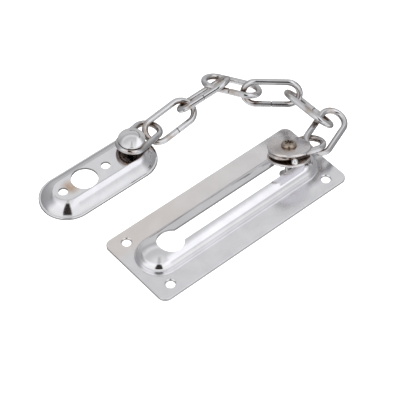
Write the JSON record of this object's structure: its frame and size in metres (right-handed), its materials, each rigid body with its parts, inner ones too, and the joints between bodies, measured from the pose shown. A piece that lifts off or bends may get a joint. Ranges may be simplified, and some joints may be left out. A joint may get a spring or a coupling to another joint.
{
  "type": "door chain guard",
  "caption": "Chrome door chain guard: slotted keyhole track plate, sliding end piece, welded chain and domed anchor plate with a stud.",
  "frame": {"origin": "middle of the track plate's four screw holes, on its back face", "axes": "+X along the track towards the slider's closed end, +Y across the plate towards the anchor plate, +Z out of the door"},
  "size_m": [0.1266, 0.0808, 0.0212],
  "materials": {
    "track_chrome": "bright chrome plate with a faint satin flange",
    "anchor_chrome": "bright chrome plate",
    "stud_chrome": "bright chrome plate",
    "chain_chrome": "bright chrome plate over drawn wire",
    "disc_chrome": "bright chrome plate, slightly worn",
    "spacer_steel": "plated steel in shadow, slightly tarnished",
    "foot_steel": "plain plated steel",
    "rivet_nickel": "nickel plate with a warm tint, peened",
    "ball_chrome": "bright chrome plate"
  },
  "bodies": {
    "track": {"track_plate": "track_chrome"},
    "slider": {"slider_upper_disc": "disc_chrome", "slider_lower_disc": "disc_chrome", "slider_spacer": "spacer_steel", "slider_foot": "foot_steel", "slider_rivet": "rivet_nickel", "slider_stop_ball": "ball_chrome"},
    "link_8": {"chain_link_8": "chain_chrome"},
    "link_7": {"chain_link_7": "chain_chrome"},
    "link_6": {"chain_link_6": "chain_chrome"},
    "link_5": {"chain_link_5": "chain_chrome"},
    "link_4": {"chain_link_4": "chain_chrome"},
    "link_3": {"chain_link_3": "chain_chrome"},
    "link_2": {"chain_link_2": "chain_chrome"},
    "link_1": {"chain_link_1": "chain_chrome"},
    "anchor": {"anchor_plate": "anchor_chrome", "anchor_stud": "stud_chrome"}
  },
  "joints": [
    {"name": "slider_slide", "type": "slide", "parent": "track", "child": "slider", "axis": [1, 0, 0], "range_m": [-0.0633, 0.0025]},
    {"name": "link_8_swivel", "type": "hinge", "parent": "slider", "child": "link_8", "pos_m": [0.03416, 0.00061, 0.0124], "axis": [0.22, 0.28, 0.9345], "range_deg": [-50, 35]},
    {"name": "link_7_hinge", "type": "hinge", "parent": "link_8", "child": "link_7", "pos_m": [0.0482, 0.0035, 0.011], "axis": [-0.4396, -0.3197, -0.8393], "range_deg": [-45, 4]},
    {"name": "link_6_hinge", "type": "hinge", "parent": "link_7", "child": "link_6", "pos_m": [0.0618, 0.008, 0.0093], "axis": [0.9403, -0.14, 0.3101], "range_deg": [-45, 40]},
    {"name": "link_5_hinge", "type": "hinge", "parent": "link_6", "child": "link_5", "pos_m": [0.0569, 0.0207, 0.0111], "axis": [-0.4396, -0.3197, -0.8393], "range_deg": [-50, 50]},
    {"name": "link_4_hinge", "type": "hinge", "parent": "link_5", "child": "link_4", "pos_m": [0.0392, 0.0357, 0.0155], "axis": [0.8563, -0.2888, -0.4282], "range_deg": [-50, 50]},
    {"name": "link_3_hinge", "type": "hinge", "parent": "link_4", "child": "link_3", "pos_m": [0.0335, 0.0439, 0.0162], "axis": [0.28, -0.96, 0.01], "range_deg": [-36, 16]},
    {"name": "link_2_hinge", "type": "hinge", "parent": "link_3", "child": "link_2", "pos_m": [0.0218, 0.054, 0.0089], "axis": [-0.5886, 0.4689, 0.6585], "range_deg": [-50, 50]},
    {"name": "link_1_hinge", "type": "hinge", "parent": "link_2", "child": "link_1", "pos_m": [0.001, 0.0476, 0.0026], "axis": [-0.01, -0.6606, -0.7507], "range_deg": [-50, 4]},
    {"name": "anchor_swivel", "type": "hinge", "parent": "link_1", "child": "anchor", "pos_m": [-0.0111, 0.0491, 0.0085], "axis": [0, 0, -1], "range_deg": [-20, 44]}
  ]
}
